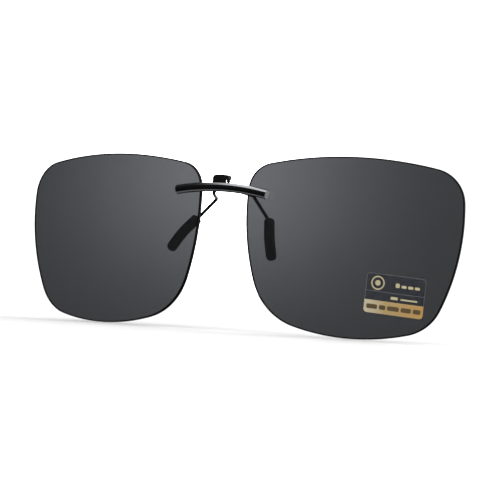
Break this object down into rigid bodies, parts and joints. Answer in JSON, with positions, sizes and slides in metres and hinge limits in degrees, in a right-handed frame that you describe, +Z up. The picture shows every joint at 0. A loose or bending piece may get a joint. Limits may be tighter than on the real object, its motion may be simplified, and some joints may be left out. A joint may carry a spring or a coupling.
{
  "type": "clip-on sunglasses",
  "caption": "Rimless clip-on sunglasses: dark square lenses on a round bridge bar, with a sprung two-armed claw and thumb pad that grip a host pair of glasses.",
  "frame": {"origin": "in the middle of the width, on the backs of the lenses where the claw's rubber tips close on them", "axes": "+X to the viewer's right seen from the front, -Y the front, +Y towards the wearer, +Z up"},
  "size_m": [0.1336, 0.0116, 0.0471],
  "materials": {
    "gunmetal_plate": "polished black nickel plate",
    "lens_film": "dark grey polarised laminate, glossy",
    "steel_hardware": "satin",
    "clear_nylon": "natural nylon",
    "black_metal": "black plated wire, satin",
    "spring_steel": "drawn wire",
    "black_rubber": "matte moulded",
    "label_film": "dark clear film",
    "gold_foil": "gold foil",
    "gold_ink": "pale gold print"
  },
  "bodies": {
    "front": {"bridge_bar": "gunmetal_plate", "lens_left": "lens_film", "lens_right": "lens_film", "lens_studs": "steel_hardware", "lens_bushes": "clear_nylon", "lens_washers": "clear_nylon", "lens_nuts": "steel_hardware", "hinge_bracket": "black_metal", "hinge_pin": "steel_hardware", "torsion_spring": "spring_steel", "label_film": "label_film", "label_band": "gold_foil", "label_print": "gold_ink"},
    "claw": {"press_lever": "black_metal", "thumb_pad": "black_rubber", "claw_arm_left": "black_metal", "claw_arm_right": "black_metal", "tip_sleeve_left": "black_rubber", "tip_sleeve_right": "black_rubber"}
  },
  "joints": [
    {"name": "claw_hinge", "type": "hinge", "parent": "front", "child": "claw", "pos_m": [-0.0011, -0.00015, 0.0172], "axis": [1, 0, 0], "range_deg": [0, 18], "stiffness_Nm_per_rad": 0.04, "springref_deg": -28.65, "deforming": ["torsion_spring"]}
  ]
}
